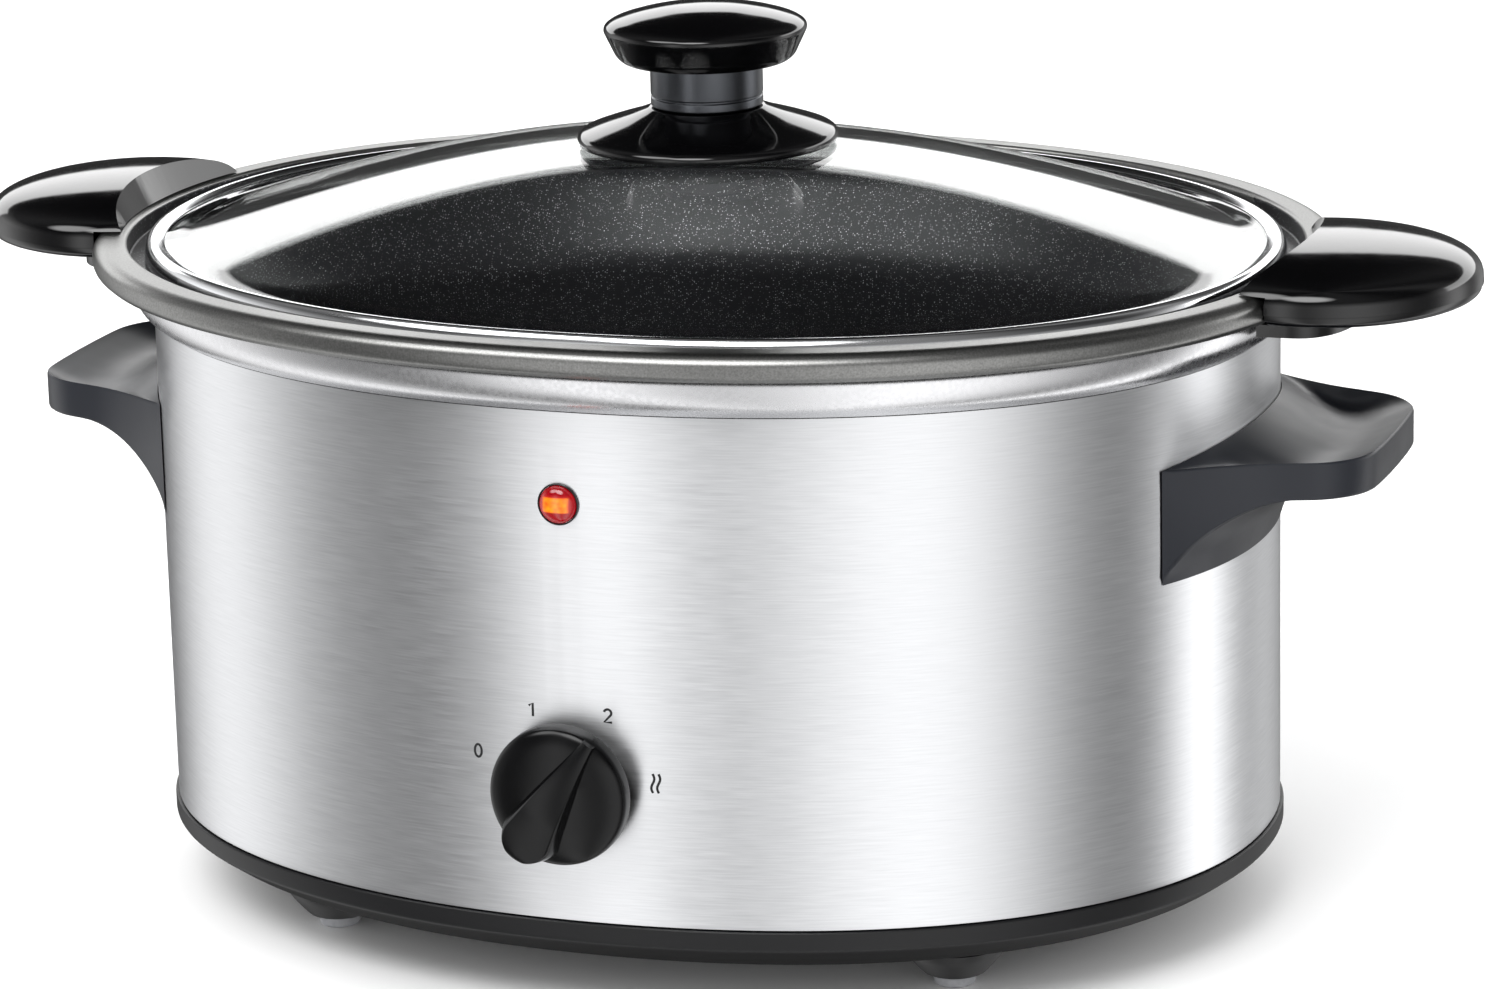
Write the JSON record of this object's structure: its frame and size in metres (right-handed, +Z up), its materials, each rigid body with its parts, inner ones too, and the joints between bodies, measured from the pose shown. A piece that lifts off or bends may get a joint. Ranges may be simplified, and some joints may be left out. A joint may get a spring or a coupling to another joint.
{
  "type": "slow cooker",
  "caption": "Oval countertop slow cooker: brushed steel body with handles, turning control knob, lift-out non-stick pot with side grips, and a domed glass lid with a knob.",
  "frame": {"origin": "on the table, under the middle of the oval body", "axes": "+Z up, the control knob faces -Y, and the carrying handles point along +X and -X"},
  "size_m": [0.4098, 0.2644, 0.2374],
  "materials": {
    "brushed_steel": "stainless steel, brushed round the body",
    "satin_aluminium": "pressed aluminium, satin",
    "nonstick_aluminium": "cast aluminium with a speckled dark non-stick coat",
    "polished_steel": "stainless steel, polished",
    "plain_steel": "zinc-plated steel",
    "dark_steel": "stainless steel, turned, darkened",
    "gloss_black": "moulded phenolic, gloss",
    "satin_black": "moulded plastic, satin",
    "grey_rubber": "matte",
    "clear_glass": "tempered glass, clear",
    "red_lens": "translucent red, clear gloss",
    "ceramic": "glazed ceramic and pale moulded insulator",
    "mica_band": "mica sheet",
    "red_wire": "silicone insulation",
    "blue_wire": "silicone insulation"
  },
  "bodies": {
    "cooker_body": {"outer_wrap": "brushed_steel", "heating_liner": "satin_aluminium", "base_tray": "satin_black", "foot_pad_left_front": "grey_rubber", "foot_pad_left_rear": "grey_rubber", "foot_pad_right_front": "grey_rubber", "foot_pad_right_rear": "grey_rubber", "side_handle_left": "satin_black", "side_handle_right": "satin_black", "handle_screw_1": "plain_steel", "handle_screw_2": "plain_steel", "handle_screw_3": "plain_steel", "handle_screw_4": "plain_steel", "heating_band": "mica_band", "band_clamp": "plain_steel", "thermal_fuse": "ceramic", "fuse_clip": "plain_steel", "centre_stud": "plain_steel", "base_washer": "plain_steel", "base_nut": "plain_steel", "heat_shield": "plain_steel", "shield_spacer": "ceramic", "rotary_switch": "ceramic", "switch_nut": "plain_steel", "indicator_lens": "red_lens", "indicator_clip": "plain_steel", "neon_lamp": "clear_glass", "terminal_block": "ceramic", "cord_gland": "satin_black", "gland_nut": "satin_black", "wire_live": "red_wire", "wire_heater": "red_wire", "wire_neutral": "blue_wire", "wire_lamp": "blue_wire"},
    "knob": {"control_knob": "gloss_black", "switch_shaft": "plain_steel"},
    "cooking_pot": {"pot_shell": "nonstick_aluminium", "pot_bracket_left": "plain_steel", "pot_bracket_right": "plain_steel", "pot_handle_top_left": "gloss_black", "pot_handle_top_right": "gloss_black", "pot_handle_base_left": "gloss_black", "pot_handle_base_right": "gloss_black", "pot_handle_screw_1": "plain_steel", "pot_handle_screw_2": "plain_steel", "pot_handle_screw_3": "plain_steel", "pot_handle_screw_4": "plain_steel"},
    "glass_lid": {"lid_glass": "clear_glass", "lid_rim": "polished_steel", "lid_flange": "gloss_black", "lid_stem": "dark_steel", "lid_knob": "gloss_black", "lid_washer": "grey_rubber", "lid_screw": "plain_steel"}
  },
  "joints": [
    {"name": "knob_turn", "type": "hinge", "parent": "cooker_body", "child": "knob", "pos_m": [0, -0.116, 0.0605], "axis": [0, 1, 0], "range_deg": [-104, 46]},
    {"name": "pot_lift", "type": "slide", "parent": "cooker_body", "child": "cooking_pot", "axis": [0, 0, 1], "range_m": [0, 0.16]},
    {"name": "lid_lift", "type": "slide", "parent": "cooking_pot", "child": "glass_lid", "axis": [0, 0, 1], "range_m": [0, 0.12]}
  ]
}
